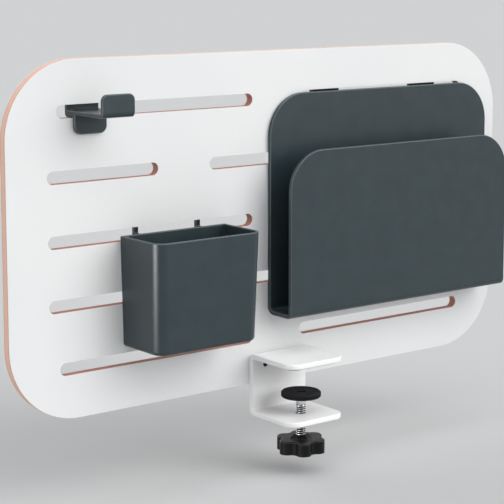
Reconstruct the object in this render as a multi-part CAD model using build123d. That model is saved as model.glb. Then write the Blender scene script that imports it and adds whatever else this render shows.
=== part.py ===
from build123d import *
import math
import os

# Desk organizer: a slotted, laminated board that a bent steel clamp holds to a desk's edge,
# with a pen cup, a document holder and a hook hung in its slots. Sizes are in millimetres.
# X runs to the right along the board, Y from the user to the board, Z up.
# The origin is where the clamp screw's axis meets the face that rests on the desk.

# Board
board_width = 515.0
board_height = 280.0
board_thickness = 8.0
board_corner_radius = 61.4
laminate_thickness = 0.6
slot_height = 10.4
slot_pitch = 50.0
slot_inner_end = 25.5
outer_row_margin = 44.2
middle_row_margin = 35.3
short_row_centre_end = 69.6
short_row_side_start = 120.0

# Clamp bracket
bracket_width = 58.8
bracket_depth = 57.5
bracket_steel = 4.5
bracket_jaw = 44.4
bracket_overlap = 26.2
bracket_inner_bend = 1.8
bracket_corner_radius = 11.0
bracket_edge = 0.7
screw_to_board = 33.5
jaw_pad_thickness = 1.0
jaw_pad_inset = 3.5

# Bracket screws
bolt_radius = 2.5
bolt_half_spacing = 15.0
bolt_below_jaw_face = 5.8
bolt_clearance = 0.25
bolt_thread_gap = 0.05
bolt_end_recess = 0.4
bolt_head_radius = 4.75
bolt_head_height = 2.75
bolt_head_bevel = 1.7
bolt_socket_across = 3.0
bolt_socket_depth = 1.6
washer_radius = 6.0
washer_thickness = 1.0

# Clamp screw, pressure pad and knob
shank_radius = 4.2
shank_gap = 0.08
pad_drop = 24.7
pad_radius = 16.8
pad_height = 4.6
pad_rim_width = 1.7
pad_recess = 0.7
pad_edge = 0.8
pad_well_radius = 4.0
pad_well_depth = 2.2
spigot_radius = 2.4
spigot_gap = 0.08
rivet_radius = 3.3
rivet_height = 0.9
collar_height = 6.1
collar_groove = 0.8
knob_drop = 64.7
knob_height = 11.5
knob_radius = 21.0
knob_valley_radius = 16.4
knob_lobe_radius = 6.5
knob_lobes = 6
knob_edge = 0.8
hub_height = 3.0
hub_base_radius = 8.3
hub_top_radius = 5.1
screw_head_across = 13.0
screw_head_thickness = 4.0
screw_head_cover = 2.5
knob_wall = 2.2
knob_boss_radius = 9.6
knob_rib = 1.8
knob_pocket_depth = 8.0

# What hangs in the slots
hang_gap = 0.3
rest_gap = 0.1
claw_back_gap = 0.3
claw_rise = 15.0

# Pen cup
cup_off_slot_middle = 17.95
cup_rim_below_row = 0.4
cup_height = 89.0
cup_rim_half = 51.0
cup_rim_depth = 52.2
cup_side_taper = 2.0
cup_front_taper = 3.0
cup_front_radius = 10.0
cup_inner_radius = 2.0
cup_wall = 2.0
cup_floor = 2.5
cup_foot_radius = 3.0
cup_rim_edge = 0.5
cup_claw_width = 4.0
cup_claw_half_spacing = 30.4
cup_claw_height = 3.6
cup_claw_thickness = 2.7

# Document holder
holder_off_slot_middle = -2.3
holder_width = 253.4
holder_sheet = 3.5
holder_top_above_row = 3.6
holder_front_below_row = 42.0
holder_base_below_row = 182.5
holder_pocket = 24.2
holder_rear_bend = 3.5
holder_front_bend = 1.5
holder_rear_radius = 35.5
holder_front_radius = 34.0
holder_claw_width = 30.0
holder_claw_half_spacing = 57.0
holder_edge = 0.5

# Hook
hook_from_slot_end = 29.05
hook_width = 29.1
hook_thickness = 3.0
hook_shelf_lift = 2.2
hook_shelf = 3.2
hook_reach = 42.3
hook_tongue_height = 20.1
hook_tab_drop = 12.8
hook_tip_radius = 5.0
hook_tab_radius = 6.0
hook_bend = 1.2
hook_edge = 0.5

# Places that follow from the sizes above
board_front = screw_to_board
board_back = board_front + board_thickness
board_bottom = -(bracket_overlap - bracket_steel) + jaw_pad_thickness
jaw_top = jaw_pad_thickness
jaw_bottom = jaw_top - bracket_jaw
slot_radius = slot_height / 2
outer_row_slot_end = board_width / 2 - outer_row_margin
middle_row_slot_end = board_width / 2 - middle_row_margin
cup_x = cup_off_slot_middle - (slot_inner_end + middle_row_slot_end) / 2
holder_x = holder_off_slot_middle + (slot_inner_end + outer_row_slot_end) / 2
hook_x = hook_from_slot_end - outer_row_slot_end
bolt_z = jaw_top - bolt_below_jaw_face
claw_front = board_back + claw_back_gap
hung_back = board_front - hang_gap


def slot_row_z(row):
    """Height of a slot row's centre line. Row 1 is the highest of five, and row 3 halves the board."""
    return board_bottom + board_height / 2 + (3 - row) * slot_pitch


def slot_floor(row):
    """Height at which a piece rests in a slot row."""
    return slot_row_z(row) - slot_radius + rest_gap


def upright(y):
    """Plane that faces the user at depth y, with its own y axis pointing up."""
    return Plane(origin=(0, y, 0), x_dir=(1, 0, 0), z_dir=(0, -1, 0))


def side_on(x):
    """Plane across the board at width x, on which profiles of Y against Z are drawn."""
    return Plane(origin=(x, 0, 0), x_dir=(0, 1, 0), z_dir=(1, 0, 0))


def polygon(points):
    return make_face(Polyline(*points, close=True))


def corners_at(sketch, places):
    """The corners of a sketch that lie at the given places."""
    def matches(vertex, place):
        return abs(vertex.X - place[0]) < 0.01 and abs(vertex.Y - place[1]) < 0.01

    return [v for v in sketch.vertices() if any(matches(v, place) for place in places)]


def rounded(sketch, groups):
    """Rounds a sketch's corners, group by group, each with its own radius."""
    for radius, places in groups:
        sketch = fillet(corners_at(sketch, places), radius)
    return sketch


def across_width(sketch, x, width):
    """Solid of the given width centred on x, from a profile of Y against Z."""
    return extrude(side_on(x - width / 2) * sketch, amount=width)


def with_broken_edges(sheet, thickness, size):
    """Takes the sharpness off the outline that runs round a bent sheet's two sides and its ends."""
    faces = sheet.faces().filter_by(Plane.YZ).sort_by(Axis.X)
    around = faces[0].edges() + faces[-1].edges()

    def is_seam(edge):
        return edge.geom_type == GeomType.LINE and edge.length < thickness + 0.01

    return chamfer([e for e in around if not is_seam(e)], size)


def slot(start, end, row):
    return Pos((start + end) / 2, slot_row_z(row)) * SlotOverall(end - start, slot_height)


def board_outline():
    """Rounded board with five rows of slots, alternately long and short."""
    centre = board_bottom + board_height / 2
    outline = Pos(0, centre) * RectangleRounded(board_width, board_height, board_corner_radius)
    for side in (-1, 1):
        for row in (1, 5):
            ends = sorted((side * slot_inner_end, side * outer_row_slot_end))
            outline -= slot(*ends, row)
        outline -= slot(*sorted((side * slot_inner_end, side * middle_row_slot_end)), 3)
        for row in (2, 4):
            ends = sorted((side * short_row_side_start, side * middle_row_slot_end))
            outline -= slot(*ends, row)
    for row in (2, 4):
        outline -= slot(-short_row_centre_end, short_row_centre_end, row)
    for side in (-1, 1):
        hole = Circle(bolt_radius + bolt_clearance)
        outline -= Pos(side * bolt_half_spacing, bolt_z) * hole
    return outline


def board_layer(front, thickness):
    return extrude(upright(front + thickness) * board_outline(), amount=thickness)


def board_core():
    return board_layer(board_front + laminate_thickness, board_thickness - 2 * laminate_thickness)


def board_front_laminate():
    return board_layer(board_front, laminate_thickness)


def board_back_laminate():
    return board_layer(board_back - laminate_thickness, laminate_thickness)


def clamp_bracket():
    """Steel strip bent into a C, its web against the board and its arms towards the user."""
    front = board_front - bracket_depth
    web = board_front - bracket_steel
    top = jaw_top + bracket_steel
    bottom = jaw_bottom - bracket_steel
    profile = polygon([
        (front, top), (board_front, top), (board_front, bottom), (front, bottom),
        (front, jaw_bottom), (web, jaw_bottom), (web, jaw_top), (front, jaw_top),
    ])
    profile = rounded(profile, [
        (bracket_inner_bend + bracket_steel, [(board_front, top), (board_front, bottom)]),
        (bracket_inner_bend, [(web, jaw_bottom), (web, jaw_top)]),
    ])
    bracket = across_width(profile, 0, bracket_width)
    tips = bracket.edges().filter_by(Axis.Z).group_by(Axis.Y)[0]
    bracket = with_broken_edges(fillet(tips, bracket_corner_radius), bracket_steel, bracket_edge)
    bracket -= Pos(0, 0, (bottom + jaw_bottom) / 2) * Cylinder(shank_radius + shank_gap, 2 * bracket_steel)
    for side in (-1, 1):
        tapped = Circle(bolt_radius + bolt_thread_gap)
        place = upright(board_front) * Pos(side * bolt_half_spacing, bolt_z)
        bracket -= extrude(place * tapped, amount=bracket_steel)
    return bracket


def jaw_pad():
    """Thin cushion stuck under the upper arm, where the bracket rests on the desk."""
    front = board_front - bracket_depth + jaw_pad_inset
    rear = board_front - bracket_steel - jaw_pad_inset
    width = bracket_width - 2 * jaw_pad_inset
    pad = polygon([(-width / 2, front), (width / 2, front), (width / 2, rear), (-width / 2, rear)])
    pad = rounded(pad, [
        (bracket_corner_radius - jaw_pad_inset, [(-width / 2, front), (width / 2, front)]),
        (2.0, [(width / 2, rear), (-width / 2, rear)]),
    ])
    return extrude(pad, amount=jaw_pad_thickness)


def bracket_screw(x):
    """Button head screw that comes from behind the board and ends in the bracket's web."""
    seat = board_back + washer_thickness
    end = board_front - bracket_steel + bolt_end_recess
    shank = extrude(upright(seat) * Pos(x, bolt_z) * Circle(bolt_radius), amount=seat - end)
    crown = upright(seat + bolt_head_height) * Pos(x, bolt_z)
    head = extrude(crown * Circle(bolt_head_radius), amount=bolt_head_height)
    head = chamfer(head.edges().group_by(Axis.Y)[-1], bolt_head_bevel)
    socket = RegularPolygon(bolt_socket_across / math.sqrt(3), 6)
    head -= extrude(crown * socket, amount=bolt_socket_depth)
    return shank + head


def bracket_screws():
    return Compound(children=[bracket_screw(side * bolt_half_spacing) for side in (-1, 1)])


def bracket_washer(x):
    ring = Circle(washer_radius) - Circle(bolt_radius + bolt_clearance)
    return extrude(upright(board_back + washer_thickness) * Pos(x, bolt_z) * ring, amount=washer_thickness)


def bracket_washers():
    return Compound(children=[bracket_washer(side * bolt_half_spacing) for side in (-1, 1)])


def turned(points):
    """Solid turned about the clamp screw's axis, from a profile of radius against height."""
    return revolve(Plane.XZ * polygon(points), Axis.Z)


def pressure_pad():
    """Swivelling disc with a raised rim and a well that holds the riveted screw end."""
    top = -pad_drop
    bottom = top - pad_height
    rim = pad_radius - pad_rim_width
    bore = spigot_radius + spigot_gap
    return turned([
        (bore, bottom), (pad_radius - pad_edge, bottom), (pad_radius, bottom + pad_edge),
        (pad_radius, top - pad_edge), (pad_radius - pad_edge, top), (rim, top), (rim, top - pad_recess),
        (pad_well_radius, top - pad_recess), (pad_well_radius, top - pad_well_depth),
        (bore, top - pad_well_depth),
    ])


def clamp_screw():
    """Threaded shank with a smooth collar, a riveted end above and a hexagon head below."""
    pad_bottom = -pad_drop - pad_height
    well_floor = -pad_drop - pad_well_depth
    collar_top = pad_bottom - rest_gap
    collar_bottom = collar_top - collar_height
    head_top = -knob_drop - screw_head_cover
    rivet_seat = well_floor + rest_gap
    rivet_top = rivet_seat + rivet_height
    thread_top = collar_bottom - collar_groove
    neck = shank_radius - 0.5
    screw = turned([
        (0, rivet_top), (rivet_radius, rivet_top), (rivet_radius, rivet_seat),
        (spigot_radius, rivet_seat), (spigot_radius, collar_top), (shank_radius, collar_top),
        (shank_radius, collar_bottom), (neck, collar_bottom), (neck, thread_top),
        (shank_radius, thread_top), (shank_radius, head_top), (0, head_top),
    ])
    hexagon = RegularPolygon(screw_head_across / math.sqrt(3), 6)
    head = extrude(Plane.XY.offset(head_top) * hexagon, amount=-screw_head_thickness)
    return screw + head


def knob_outline(shrink=0.0):
    """Six rounded lobes joined by hollow arcs that run into them without a corner."""
    lobe = knob_lobe_radius
    lobe_centre = knob_radius - lobe
    step = math.pi / knob_lobes
    gain = 2 * (knob_valley_radius - lobe_centre * math.cos(step) - lobe)
    loss = lobe ** 2 - lobe_centre ** 2 - knob_valley_radius ** 2
    loss += 2 * lobe_centre * knob_valley_radius * math.cos(step)
    valley = loss / gain
    valley_centre = knob_valley_radius + valley
    lobe -= shrink
    valley += shrink

    def place(radius, angle):
        return Vector(radius * math.cos(angle), radius * math.sin(angle))

    def joint(tip_angle, hollow_angle):
        """Where a lobe's arc meets a hollow's arc."""
        tip = place(lobe_centre, tip_angle)
        hollow = place(valley_centre, hollow_angle)
        return tip + (hollow - tip).normalized() * lobe

    edges = []
    for i in range(knob_lobes):
        tip_angle = 2 * i * step
        before = joint(tip_angle, tip_angle - step)
        after = joint(tip_angle, tip_angle + step)
        onward = joint(tip_angle + 2 * step, tip_angle + step)
        edges.append(ThreePointArc(before, place(lobe_centre + lobe, tip_angle), after))
        edges.append(ThreePointArc(after, place(valley_centre - valley, tip_angle + step), onward))
    return make_face(edges)


def star_knob():
    """Moulded hand knob: lobes, a tapered hub round the screw and a ribbed hollow below."""
    top = -knob_drop
    bottom = top - knob_height
    knob = extrude(Plane.XY.offset(bottom) * knob_outline(), amount=knob_height)
    knob = chamfer(knob.edges().group_by(Axis.Z)[-1], knob_edge)
    hub = Plane.XY.offset(top) * Rot(0, 0, 30) * RegularPolygon(hub_base_radius, 6, major_radius=False)
    slope = math.degrees(math.atan((hub_base_radius - hub_top_radius) / hub_height))
    knob += extrude(hub, amount=hub_height, taper=slope)
    pocket = knob_outline(knob_wall) - Circle(knob_boss_radius)
    for i in range(knob_lobes):
        rib = Pos(knob_radius / 2, 0) * Rectangle(knob_radius, knob_rib)
        pocket -= Rot(0, 0, (i + 0.5) * 360 / knob_lobes) * rib
    knob -= extrude(Plane.XY.offset(bottom) * pocket, amount=knob_pocket_depth)
    knob -= clamp_screw()
    return knob


def cup_body(inset, lift):
    """The pen cup's tapered outside, or its inside when inset by the wall and lifted by the floor."""
    share = 1 - lift / cup_height
    half = cup_rim_half - share * cup_side_taper - inset
    depth = cup_rim_depth - share * cup_front_taper - 2 * inset
    spread = share * cup_side_taper
    rim_depth = cup_rim_depth - 2 * inset
    flare = Wedge(
        2 * half, cup_height - lift, depth, -spread, 0, 2 * half + spread, rim_depth,
        align=(Align.CENTER, Align.MIN, Align.MIN),
    )
    base = slot_row_z(3) - cup_rim_below_row - cup_height
    body = upright(hung_back - inset) * Pos(cup_x, base + lift) * flare
    corners = [e for e in body.edges() if abs(e.tangent_at(0).Z) > 0.5]
    corners.sort(key=lambda e: e.center().Y)
    return fillet(corners[:2], cup_front_radius - inset)


def pen_cup():
    """Tapered thin-walled cup with two narrow claws that reach through a slot and turn up."""
    outside = cup_body(0, 0)
    foot = outside.edges().group_by(Axis.Z)[0].sort_by(Axis.Y)
    outside = fillet(foot[:-1], cup_foot_radius)
    inside = cup_body(cup_wall, cup_floor)
    rear = inside.faces().sort_by(Axis.Y)[-1]
    corners = [e for e in rear.edges() if abs(e.tangent_at(0).Z) > 0.5]
    cup = outside - fillet(corners, cup_inner_radius)
    cup = chamfer(cup.edges().group_by(Axis.Z)[-1], cup_rim_edge)
    floor = slot_floor(3)
    inner = hung_back - cup_wall / 2
    claw_back = claw_front + cup_claw_thickness
    claw = polygon([
        (inner, floor), (claw_back, floor), (claw_back, floor + claw_rise),
        (claw_front, floor + claw_rise), (claw_front, floor + cup_claw_height),
        (inner, floor + cup_claw_height),
    ])
    claw = rounded(claw, [
        (2.5, [(claw_back, floor)]),
        (1.2, [(claw_back, floor + claw_rise), (claw_front, floor + claw_rise)]),
        (0.2, [(claw_front, floor + cup_claw_height)]),
    ])
    for side in (-1, 1):
        cup += across_width(claw, cup_x + side * cup_claw_half_spacing, cup_claw_width)
    return cup


def document_holder():
    """Sheet bent into a J, open at both sides, hung by two wide claws."""
    rear = hung_back
    plate = rear - holder_sheet
    pocket = plate - holder_pocket
    front = pocket - holder_sheet
    base = slot_row_z(1) - holder_base_below_row
    floor = base + holder_sheet
    rear_top = slot_row_z(1) + holder_top_above_row
    front_top = slot_row_z(1) - holder_front_below_row
    profile = polygon([
        (rear, rear_top), (rear, base), (front, base), (front, front_top),
        (pocket, front_top), (pocket, floor), (plate, floor), (plate, rear_top),
    ])
    profile = rounded(profile, [
        (holder_rear_bend + holder_sheet, [(rear, base)]),
        (holder_front_bend + holder_sheet, [(front, base)]),
        (holder_front_bend, [(pocket, floor)]),
        (holder_rear_bend, [(plate, floor)]),
    ])
    holder = across_width(profile, holder_x, holder_width)
    for height, radius in ((rear_top, holder_rear_radius), (front_top, holder_front_radius)):
        across = holder.edges().filter_by(Axis.Y)
        holder = fillet([e for e in across if abs(e.center().Z - height) < 0.01], radius)
    holder = with_broken_edges(holder, holder_sheet, holder_edge)
    rest = slot_floor(1)
    claw_back = claw_front + holder_sheet
    inner = rear - holder_sheet / 2
    claw = polygon([
        (inner, rest), (claw_back, rest), (claw_back, rest + claw_rise), (claw_front, rest + claw_rise),
        (claw_front, rest + holder_sheet), (inner, rest + holder_sheet),
    ])
    claw = rounded(claw, [(2.5, [(claw_back, rest)]), (0.2, [(claw_front, rest + holder_sheet)])])
    for side in (-1, 1):
        piece = across_width(claw, holder_x + side * holder_claw_half_spacing, holder_claw_width)
        tips = piece.edges().filter_by(Axis.Y).group_by(Axis.Z)[-1]
        holder += fillet(tips, 4.0)
    return holder


def hook():
    """Moulded hook: a claw behind the board, a neck in the slot, a tab, a shelf and a tongue."""
    rest = slot_floor(1)
    shelf_under = rest + hook_shelf_lift
    shelf_top = shelf_under + hook_shelf
    tab = hung_back - hook_thickness
    tongue = hung_back - hook_reach
    claw_back = claw_front + hook_thickness
    tip = rest + hook_tongue_height
    tab_end = rest - hook_tab_drop
    profile = polygon([
        (tongue, shelf_under), (tab, shelf_under), (tab, tab_end), (hung_back, tab_end),
        (hung_back, rest), (claw_back, rest), (claw_back, rest + claw_rise),
        (claw_front, rest + claw_rise), (claw_front, shelf_top), (tongue + hook_thickness, shelf_top),
        (tongue + hook_thickness, tip), (tongue, tip),
    ])
    profile = rounded(profile, [
        (hook_bend + hook_thickness, [(tongue, shelf_under)]),
        (hook_bend, [(tongue + hook_thickness, shelf_top)]),
        (1.5, [(tab, shelf_under)]),
        (2.5, [(claw_back, rest)]),
        (0.2, [(claw_front, shelf_top)]),
    ])
    body = across_width(profile, hook_x, hook_width)
    across = body.edges().filter_by(Axis.Y)
    body = fillet([e for e in across if e.center().Z > tip - 0.1], hook_tip_radius)
    across = body.edges().filter_by(Axis.Y)
    body = fillet([e for e in across if e.center().Z < tab_end + 0.1], hook_tab_radius)
    across = body.edges().filter_by(Axis.Y)
    body = chamfer([e for e in across if e.center().Y > board_back and e.center().Z > tip - 8], 3.0)
    return with_broken_edges(body, hook_thickness, hook_edge)


pieces = {
    "board_core": board_core,
    "board_front_laminate": board_front_laminate,
    "board_back_laminate": board_back_laminate,
    "clamp_bracket": clamp_bracket,
    "jaw_pad": jaw_pad,
    "bracket_screws": bracket_screws,
    "bracket_washers": bracket_washers,
    "pressure_pad": pressure_pad,
    "clamp_screw": clamp_screw,
    "star_knob": star_knob,
    "pen_cup": pen_cup,
    "document_holder": document_holder,
    "hook": hook,
}

os.makedirs("parts", exist_ok=True)
for name, make in pieces.items():
    export_step(make(), f"parts/{name}.step")
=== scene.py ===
import math

import bmesh
import bpy
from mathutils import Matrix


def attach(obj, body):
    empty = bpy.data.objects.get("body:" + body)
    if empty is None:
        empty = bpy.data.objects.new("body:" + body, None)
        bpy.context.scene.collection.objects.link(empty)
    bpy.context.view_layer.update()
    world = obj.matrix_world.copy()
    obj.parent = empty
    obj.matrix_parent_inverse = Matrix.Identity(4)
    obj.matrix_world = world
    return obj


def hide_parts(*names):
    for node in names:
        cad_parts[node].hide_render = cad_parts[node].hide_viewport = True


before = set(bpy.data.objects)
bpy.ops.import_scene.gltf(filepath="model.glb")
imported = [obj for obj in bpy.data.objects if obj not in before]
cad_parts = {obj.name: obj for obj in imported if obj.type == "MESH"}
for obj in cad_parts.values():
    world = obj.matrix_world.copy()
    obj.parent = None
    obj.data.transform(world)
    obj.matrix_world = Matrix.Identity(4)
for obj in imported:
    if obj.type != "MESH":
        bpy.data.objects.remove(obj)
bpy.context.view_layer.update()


# Board core. Medium density fibreboard, 6.8 mm thick, cut and slotted by a router, edges sanded.
# Its cut edge shows all round the board and inside the slots: dense and darker under both faces,
# paler and more open in the middle, with the slot walls darker: partly browned by the cutter,
# partly painted shade.
core_edge = (234, 188, 168)
core_dense = (196, 148, 128)
core_routed_and_shaded = (168, 114, 100)
core_front = 0.0341
core_thickness = 0.0068
dense_from = 0.28
dense_full = 0.5
slot_field_half_width = 0.2235
slot_field_low = 0.0135
slot_field_high = 0.2255
fleck_share = 0.3


def linear(colour):
    """An 8-bit display colour as the linear values that a shader socket takes."""
    def straight(value):
        value /= 255
        return value / 12.92 if value <= 0.04045 else ((value + 0.055) / 1.055) ** 2.4

    return tuple(straight(value) for value in colour) + (1.0,)


def feed(tree, socket, value):
    """Gives a socket a number, an 8-bit colour or another socket's value."""
    if isinstance(value, tuple):
        socket.default_value = linear(value)
    elif isinstance(value, (int, float)):
        socket.default_value = value
    else:
        tree.links.new(value, socket)


def new_finish(name, colour, roughness, metallic=0.0, shine=0.5):
    """A material with its shader's fixed values set, and its node tree."""
    material = bpy.data.materials.new(name)
    material.use_nodes = True
    tree = material.node_tree
    surface = tree.nodes["Principled BSDF"]
    feed(tree, surface.inputs["Base Color"], colour)
    feed(tree, surface.inputs["Roughness"], roughness)
    feed(tree, surface.inputs["Metallic"], metallic)
    feed(tree, surface.inputs["Specular IOR Level"], shine)
    return material, tree, surface


def place_on(tree, stretch=(1, 1, 1)):
    """Object coordinates in metres, stretched along each axis."""
    coordinates = tree.nodes.new("ShaderNodeTexCoord")
    mapping = tree.nodes.new("ShaderNodeMapping")
    mapping.inputs["Scale"].default_value = stretch
    feed(tree, mapping.inputs["Vector"], coordinates.outputs["Object"])
    return mapping.outputs["Vector"]


def axes_of(tree):
    """The three object coordinates as separate values."""
    split = tree.nodes.new("ShaderNodeSeparateXYZ")
    feed(tree, split.inputs["Vector"], place_on(tree))
    return split.outputs["X"], split.outputs["Y"], split.outputs["Z"]


def grain(tree, scale, detail=2, stretch=(1, 1, 1)):
    """Noise with the given number of lumps in a metre."""
    noise = tree.nodes.new("ShaderNodeTexNoise")
    feed(tree, noise.inputs["Scale"], scale)
    feed(tree, noise.inputs["Detail"], detail)
    feed(tree, noise.inputs["Vector"], place_on(tree, stretch))
    return noise.outputs["Fac"]


def ramp(tree, value, start, end, low=0.0, high=1.0):
    """A value carried from one range to another, smoothly and without overshoot."""
    node = tree.nodes.new("ShaderNodeMapRange")
    node.interpolation_type = "SMOOTHSTEP"
    feed(tree, node.inputs["Value"], value)
    feed(tree, node.inputs["From Min"], start)
    feed(tree, node.inputs["From Max"], end)
    feed(tree, node.inputs["To Min"], low)
    feed(tree, node.inputs["To Max"], high)
    return node.outputs["Result"]


def patches(tree, scale, detail=2, low=0.0, high=1.0, stretch=(1, 1, 1)):
    """Cloudy patches of the given scale, whose values run from low to high."""
    return ramp(tree, grain(tree, scale, detail, stretch), 0.3, 0.7, low, high)


def worked_out(tree, operation, *values):
    """Arithmetic on one or two values."""
    node = tree.nodes.new("ShaderNodeMath")
    node.operation = operation
    for socket, value in zip(node.inputs, values):
        feed(tree, socket, value)
    return node.outputs["Value"]


def mixed(tree, share, first, second):
    """A colour between two."""
    node = tree.nodes.new("ShaderNodeMix")
    node.data_type = "RGBA"
    for index, value in ((0, share), (6, first), (7, second)):
        feed(tree, node.inputs[index], value)
    return node.outputs[2]


def raise_surface(tree, surface, height, relief, strength=1.0, base=None):
    """Bump of the given relief in metres, over the surface or over its softened edges."""
    bump = tree.nodes.new("ShaderNodeBump")
    feed(tree, bump.inputs["Distance"], relief)
    feed(tree, bump.inputs["Strength"], strength)
    feed(tree, bump.inputs["Height"], height)
    if base is not None:
        feed(tree, bump.inputs["Normal"], base)
    feed(tree, surface.inputs["Normal"], bump.outputs["Normal"])


def coat(node, material):
    """Gives a CAD node its finish."""
    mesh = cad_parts[node].data
    mesh.materials.clear()
    mesh.materials.append(material)


fibreboard, tree, surface = new_finish("fibreboard", core_edge, roughness=0.8)
across, depth, up = axes_of(tree)
off_middle = worked_out(tree, "SUBTRACT", depth, core_front + core_thickness / 2)
off_middle = worked_out(tree, "ABSOLUTE", off_middle)
dense = ramp(tree, off_middle, core_thickness * dense_from, core_thickness * dense_full)
colour = mixed(tree, dense, core_edge, core_dense)
off_centre = worked_out(tree, "ABSOLUTE", across)
in_slots = worked_out(tree, "LESS_THAN", off_centre, slot_field_half_width)
above_lowest = worked_out(tree, "GREATER_THAN", up, slot_field_low)
below_highest = worked_out(tree, "LESS_THAN", up, slot_field_high)
in_slots = worked_out(tree, "MULTIPLY", in_slots, above_lowest)
in_slots = worked_out(tree, "MULTIPLY", in_slots, below_highest)
# Painted shade: the slot walls are darkened, partly for the cutter's browning, partly for the shade
# in the slots.
colour = mixed(tree, in_slots, colour, core_routed_and_shaded)
fibres = patches(tree, scale=900, detail=4, stretch=(1, 3, 1))
flecked = mixed(tree, fibres, colour, core_dense)
feed(tree, surface.inputs["Base Color"], mixed(tree, fleck_share, colour, flecked))
sawn = grain(tree, scale=2500, detail=3, stretch=(1, 2, 1))
raise_surface(tree, surface, sawn, relief=0.00008)
coat("board_core", fibreboard)


# Front and back laminates. White melamine sheet pressed on both faces of the core, satin, with the
# faint even pebble of the press plate and slight cloudiness in its gloss.
laminate_white = (226, 227, 227)
laminate_cloud = (221, 222, 223)


def mottled(tree, shades, scale, detail=3):
    """A colour that clouds between two shades."""
    return mixed(tree, patches(tree, scale, detail), *shades)


laminate, tree, surface = new_finish("white_laminate", laminate_white, roughness=0.42)
colour = mottled(tree, (laminate_white, laminate_cloud), scale=7)
feed(tree, surface.inputs["Base Color"], colour)
feed(tree, surface.inputs["Roughness"], patches(tree, scale=40, detail=3, low=0.38, high=0.48))
raise_surface(tree, surface, grain(tree, scale=1100), relief=0.00003, strength=0.5)
coat("board_front_laminate", laminate)
coat("board_back_laminate", laminate)


# Clamp bracket. Steel strip, 4.5 mm thick, sheared, its corners rounded, bent twice into a C and
# powder coated white: satin, with the light orange peel of baked powder.
powder_white = (243, 243, 243)
powder_shade = (239, 239, 240)
bracket_edge_radius = 0.001


def rounded_edges(tree, radius):
    """The surface's direction, softened near its edges as a real broken edge is."""
    bevel = tree.nodes.new("ShaderNodeBevel")
    bevel.samples = 6
    feed(tree, bevel.inputs["Radius"], radius)
    return bevel.outputs["Normal"]


powder, tree, surface = new_finish("white_powder_coat", powder_white, roughness=0.38)
colour = mottled(tree, (powder_white, powder_shade), scale=25)
feed(tree, surface.inputs["Base Color"], colour)
feed(tree, surface.inputs["Roughness"], patches(tree, scale=120, low=0.32, high=0.42))
softened = rounded_edges(tree, bracket_edge_radius)
raise_surface(tree, surface, grain(tree, scale=650), relief=0.00006, strength=0.6, base=softened)
coat("clamp_bracket", powder)


# Jaw pad. Thin dark foam rubber, die cut and stuck under the upper arm so that it doesn't mark the
# desk. Its cut edge shows as a dark line below the arm.
foam_dark = (52, 53, 55)
foam_light = (70, 71, 73)
foam_cells = 1600

foam, tree, surface = new_finish("foam_rubber", foam_dark, roughness=0.9)
cells = ramp(tree, grain(tree, foam_cells, detail=3), 0.35, 0.65)
feed(tree, surface.inputs["Base Color"], mixed(tree, cells, foam_dark, foam_light))
raise_surface(tree, surface, grain(tree, foam_cells, detail=3), relief=0.00015)
coat("jaw_pad", foam)


# Bracket screws and washers. Steel button heads with a hexagon socket, plated in black zinc, behind
# the board on plain bright zinc washers. They go through the board into the bracket's web, where
# their dark ends show in its two holes in front.
zinc_bright = (190, 192, 196)
zinc_dull = (150, 152, 158)
zinc_black = (52, 53, 57)
zinc_black_dull = (34, 35, 38)
fastener_edge_radius = 0.0003


def zinc_plating(name, shades, roughness):
    """Plated steel with the small cloudy patches of a barrel plated part."""
    plating, tree, surface = new_finish(name, shades[0], roughness, metallic=1.0)
    feed(tree, surface.inputs["Base Color"], mottled(tree, shades, scale=500, detail=4))
    gloss = patches(tree, scale=900, low=roughness - 0.08, high=roughness + 0.1)
    feed(tree, surface.inputs["Roughness"], gloss)
    softened = rounded_edges(tree, fastener_edge_radius)
    raise_surface(tree, surface, grain(tree, scale=3000), relief=0.00001, base=softened)
    return plating


coat("bracket_screws", zinc_plating("black_zinc", (zinc_black, zinc_black_dull), 0.38))
coat("bracket_washers", zinc_plating("bright_zinc", (zinc_bright, zinc_dull), 0.34))


# Pressure pad. Black nylon disc, moulded, that turns freely on the end of the clamp screw. Its face
# has a raised rim and fine rings that grip the desk, round the well for the riveted screw end.
nylon_black = (11, 12, 13)
nylon_grey = (17, 18, 20)
nylon_edge_highlight = (78, 80, 83)
pad_edge_radius = 0.0006
ring_pitch = 0.0011
fine_share = 0.5


def near_edge(tree, softened, start=0.005, full=0.08):
    """1 on an edge and 0 away from it."""
    geometry = tree.nodes.new("ShaderNodeNewGeometry")
    turn = tree.nodes.new("ShaderNodeVectorMath")
    turn.operation = "DOT_PRODUCT"
    feed(tree, turn.inputs[0], softened)
    feed(tree, turn.inputs[1], geometry.outputs["Normal"])
    bent = worked_out(tree, "SUBTRACT", 1.0, turn.outputs["Value"])
    return ramp(tree, bent, start, full)


def moulded(name, shades, edge, edge_radius, scale, roughness, shine):
    """A moulded plastic, clouded between two shades, with a painted highlight along its edges."""
    material, tree, surface = new_finish(name, shades[0], roughness, shine=shine)
    softened = rounded_edges(tree, edge_radius)
    body = mottled(tree, shades, scale)
    # Painted highlight: the edges are lightened as if they caught the light.
    edge_highlighted = mixed(tree, near_edge(tree, softened), body, edge)
    feed(tree, surface.inputs["Base Color"], edge_highlighted)
    return material, tree, surface, softened


def off_axis(tree, across, depth):
    """Distance from the clamp screw's axis."""
    squares = [worked_out(tree, "MULTIPLY", value, value) for value in (across, depth)]
    return worked_out(tree, "SQRT", worked_out(tree, "ADD", *squares))


nylon, tree, surface, softened = moulded(
    "black_nylon", (nylon_black, nylon_grey), nylon_edge_highlight, pad_edge_radius,
    scale=300, roughness=0.66, shine=0.12)
across, depth, up = axes_of(tree)
turns = worked_out(tree, "MULTIPLY", off_axis(tree, across, depth), 2 * math.pi / ring_pitch)
rings = worked_out(tree, "SINE", turns)
fine = worked_out(tree, "MULTIPLY", grain(tree, scale=2500), fine_share)
ringed = worked_out(tree, "ADD", rings, fine)
raise_surface(tree, surface, ringed, relief=0.00006, strength=0.7, base=softened)
coat("pressure_pad", nylon)
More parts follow.
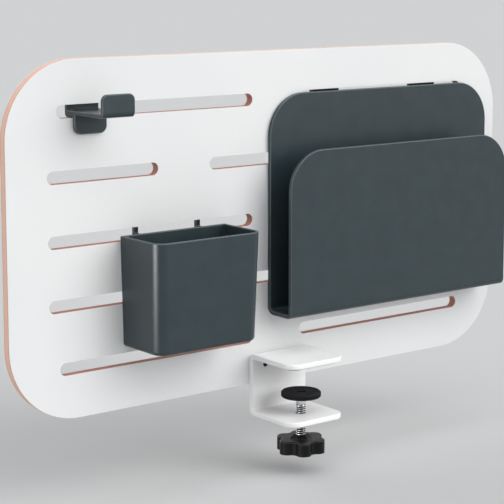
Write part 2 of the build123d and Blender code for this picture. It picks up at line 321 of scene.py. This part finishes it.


# Clamp screw. Turned steel, bright plated, with a right-hand thread of 1.75 mm lead that the CAD
# solid leaves plain; painted shade darkens its roots. The pad turns between a smooth collar and
# the end above, which is riveted over and painted dark as painted shade in the pad's well. The
# hexagon head below is moulded into the knob.
screw_sides = 40
edge_break = 0.0004
shank_radius = 0.0042
root_radius = 0.00325
neck_radius = 0.0037
spigot_radius = 0.0024
rivet_radius = 0.0033
rivet_height = 0.0009
rivet_crown = ((0.0, 0.0022), (0.0002, 0.0029), (0.0006, 0.0033))
rivet_top = -0.0259
collar_top = -0.0294
collar_bottom = -0.0355
thread_top = -0.0363
thread_lead = 0.00175
thread_flank = 0.42
thread_flat = 1.25
thread_run_in = 0.8
rows_per_turn = 8
head_top = -0.0672
head_bottom = -0.0712
head_across = 0.013
head_sides = 6
crest_margin = 0.0001
peened_from = 0.0004
peened_full = 0.0010
peened_roughness = 0.7
plating_bright = (208, 209, 212)
rivet_end_painted_shade = (34, 34, 37)
thread_root_painted_shade = (42, 42, 45)


def thread_depth(height, turn):
    """How far the thread is cut below its crest: flat crests and roots, sloped sides."""
    phase = ((height - thread_top) / thread_lead - turn) % 1.0
    groove = 1 - abs(phase - 0.5) / thread_flank
    groove = min(1.0, max(0.0, groove) * thread_flat)
    run_in = min(1.0, (thread_top - height) / (thread_lead * thread_run_in))
    return groove * run_in * (shank_radius - root_radius)


def ring(bm, height, radius, threaded=False, sides=screw_sides, start=0.0):
    """One round row of vertices, cut to the thread where asked."""
    row = []
    for i in range(sides):
        turn = i / sides
        r = radius - thread_depth(height, turn) if threaded else radius
        angle = start + 2 * math.pi * turn
        row.append(bm.verts.new((r * math.cos(angle), r * math.sin(angle), height)))
    return row


def skin(bm, rows):
    """Closed surface through rows of vertices, from the top down, capped at both ends."""
    for above, below in zip(rows, rows[1:]):
        for i in range(len(above)):
            j = (i + 1) % len(above)
            bm.faces.new((above[i], below[i], below[j], above[j]))
    bm.faces.new(rows[0])
    bm.faces.new(rows[-1][::-1])


def put(name, data):
    """Puts a mesh, a lamp or a camera in the scene."""
    thing = bpy.data.objects.new(name, data)
    bpy.context.scene.collection.objects.link(thing)
    return thing


def made_from(bm, name, material):
    """Turns finished mesh work into an object of the given material."""
    mesh = bpy.data.meshes.new(name)
    bm.normal_update()
    bm.to_mesh(mesh)
    bm.free()
    mesh.materials.append(material)
    return put(name, mesh)


bm = bmesh.new()
rows = [ring(bm, rivet_top - below, radius) for below, radius in rivet_crown]
for height, radius in (
    (rivet_top - rivet_height, rivet_radius),
    (rivet_top - rivet_height, spigot_radius),
    (collar_top, spigot_radius),
    (collar_top, shank_radius - edge_break),
    (collar_top - edge_break, shank_radius),
    (collar_bottom + edge_break, shank_radius),
    (collar_bottom, neck_radius),
    (thread_top, neck_radius),
    (thread_top - edge_break, shank_radius),
):
    rows.append(ring(bm, height, radius))
thread_rows = round((thread_top - head_top) / thread_lead * rows_per_turn)
thread_start = thread_top - edge_break
for i in range(1, thread_rows + 1):
    height = thread_start - i * (thread_start - head_top) / thread_rows
    rows.append(ring(bm, height, shank_radius, threaded=i < thread_rows))
skin(bm, rows)
corner_radius = head_across / math.sqrt(3)
skin(bm, [ring(bm, height, corner_radius, sides=head_sides, start=math.pi / head_sides)
          for height in (head_top, head_bottom)])
for face in bm.faces:
    face.smooth = len(face.verts) == 4

plated, tree, surface = new_finish("bright_plating", plating_bright, roughness=0.2, metallic=1.0)
across, depth, up = axes_of(tree)
radius = off_axis(tree, across, depth)
# Painted shade: the thread's roots are darker than its crests, as shade in the grooves.
crest = ramp(tree, radius, root_radius + crest_margin, shank_radius - crest_margin)
shank = mixed(tree, crest, thread_root_painted_shade, plating_bright)
# Painted shade: the riveted end is dark, for the shade in the pad's well.
peened = ramp(tree, up, collar_top + peened_from, collar_top + peened_full)
feed(tree, surface.inputs["Base Color"], mixed(tree, peened, shank, rivet_end_painted_shade))
gloss = patches(tree, scale=700, detail=3, low=0.14, high=0.26, stretch=(1, 1, 4))
dull = worked_out(tree, "MULTIPLY", peened, peened_roughness)
gloss = worked_out(tree, "MAXIMUM", gloss, dull)
feed(tree, surface.inputs["Roughness"], gloss)
turning_marks = grain(tree, scale=1500, stretch=(1, 1, 6))
raise_surface(tree, surface, turning_marks, relief=0.000004)
clamp_screw = made_from(bm, "threaded_clamp_screw", plated)
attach(clamp_screw, "screw")
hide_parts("clamp_screw")


# Star knob. Black plastic with six lobes for the fingers, moulded round the screw's head, with the
# fine even grain of a spark eroded mould.
knob_black = (9, 9, 10)
knob_worn = (15, 15, 17)
knob_edge_highlight = (92, 93, 96)
knob_edge_radius = 0.0008

grip, tree, surface, softened = moulded(
    "black_knob_plastic", (knob_black, knob_worn), knob_edge_highlight, knob_edge_radius,
    scale=200, roughness=0.36, shine=0.2)
feed(tree, surface.inputs["Roughness"], patches(tree, scale=500, low=0.3, high=0.42))
raise_surface(tree, surface, grain(tree, scale=2600), relief=0.00004, strength=0.6, base=softened)
coat("star_knob", grip)


# Pen cup. Moulded in dark blue-grey plastic, tapered so that it leaves the mould, with a satin
# spark-eroded skin outside and in. It hangs by two narrow claws in the middle row.
plastic_grey = (46, 58, 62)
plastic_deep = (42, 54, 58)
plastic_edge_highlight = (116, 127, 132)
plastic_edge_radius = 0.0008

satin, tree, surface, softened = moulded(
    "grey_plastic", (plastic_grey, plastic_deep), plastic_edge_highlight, plastic_edge_radius,
    scale=60, roughness=0.34, shine=0.4)
feed(tree, surface.inputs["Roughness"], patches(tree, scale=180, low=0.3, high=0.36))
skin_grain = grain(tree, scale=2200, detail=3)
raise_surface(tree, surface, skin_grain, relief=0.00003, strength=0.6, base=softened)
coat("pen_cup", satin)


# Document holder. The same satin plastic, 3.5 mm thick, in a wide J with rounded upper corners,
# open at both sides. Two broad claws hold it in the top row.
coat("document_holder", satin)


# Hook. A small moulding of the same satin plastic: a shelf with a raised tab at its end, and a
# tongue that rests on the board. It hangs in the top row by a claw as wide as its shelf.
coat("hook", satin)


# Studio. A pale floor below the knob's lowest reach, soft lamps from the front, left, above and
# behind, a pale surround and the camera of the photograph.
floor_height = -0.094
floor_radius = 40
floor_sides = 96
floor_pale = (190, 191, 192)
surround_pale = 0.632
ambient_strength = 0.37
strip_place = (-0.86, 0.02, 0.02)
strip_width = 0.42
strip_height = 0.22
strip_power = 5.0
camera_place = (-0.8476, -1.0274, 0.3321)
camera_azimuth = -37.753
camera_drop = 8.386
camera_lens = 116.5
camera_sensor = 36
camera_shift = -0.1

bm = bmesh.new()
bmesh.ops.create_circle(bm, cap_ends=True, segments=floor_sides, radius=floor_radius)
bmesh.ops.translate(bm, verts=bm.verts, vec=(0, 0, floor_height))
paper, tree, surface = new_finish("studio_paper", floor_pale, roughness=0.9, shine=0.0)
feed(tree, surface.inputs["Roughness"], patches(tree, scale=3, low=0.86, high=0.94))
made_from(bm, "studio_floor", paper)

world = bpy.data.worlds.new("studio_surround")
bpy.context.scene.world = world
world.use_nodes = True
tree = world.node_tree
light_path = tree.nodes.new("ShaderNodeLightPath")
ambient = tree.nodes["Background"]
ambient.inputs["Color"].default_value = (1, 1, 1, 1)
ambient.inputs["Strength"].default_value = ambient_strength
backdrop = tree.nodes.new("ShaderNodeBackground")
backdrop.inputs["Color"].default_value = (surround_pale, surround_pale, surround_pale, 1)
seen = light_path.outputs["Is Camera Ray"]
for kind in ("Is Glossy Ray", "Is Transmission Ray"):
    seen = worked_out(tree, "MAXIMUM", seen, light_path.outputs[kind])
switch = tree.nodes.new("ShaderNodeMixShader")
feed(tree, switch.inputs["Fac"], seen)
feed(tree, switch.inputs[1], ambient.outputs["Background"])
feed(tree, switch.inputs[2], backdrop.outputs["Background"])
feed(tree, tree.nodes["World Output"].inputs["Surface"], switch.outputs["Shader"])


def soft_lamp(name, azimuth, elevation, spread, strength):
    """A distant soft lamp. Azimuth 0 stands in front of the board, and 90 at its right end."""
    lamp = bpy.data.lights.new(name, "SUN")
    lamp.energy = strength
    lamp.angle = math.radians(spread)
    stand = put(name, lamp)
    stand.rotation_euler = (math.radians(90 - elevation), 0, math.radians(azimuth))


soft_lamp("front_lamp", azimuth=32, elevation=28, spread=50, strength=1.95)
soft_lamp("left_lamp", azimuth=-80, elevation=20, spread=50, strength=0.5)
soft_lamp("top_lamp", azimuth=-15, elevation=68, spread=60, strength=1.25)
soft_lamp("rear_lamp", azimuth=190, elevation=25, spread=60, strength=1.1)
strip = bpy.data.lights.new("left_strip", "AREA")
strip.shape = "RECTANGLE"
strip.size, strip.size_y = strip_width, strip_height
strip.energy = strip_power
strip_stand = put("left_strip", strip)
strip_stand.location = strip_place
strip_stand.rotation_euler = (math.radians(90), 0, math.radians(-90))
strip_stand.visible_camera = False
strip_stand.visible_diffuse = False

camera_data = bpy.data.cameras.new("camera")
camera_data.lens = camera_lens
camera_data.sensor_width = camera_sensor
camera_data.shift_y = camera_shift
camera = put("camera", camera_data)
camera.location = camera_place
camera.rotation_euler = (math.radians(90 - camera_drop), 0, math.radians(camera_azimuth))
bpy.context.scene.camera = camera
bpy.context.scene.view_settings.view_transform = "Standard"
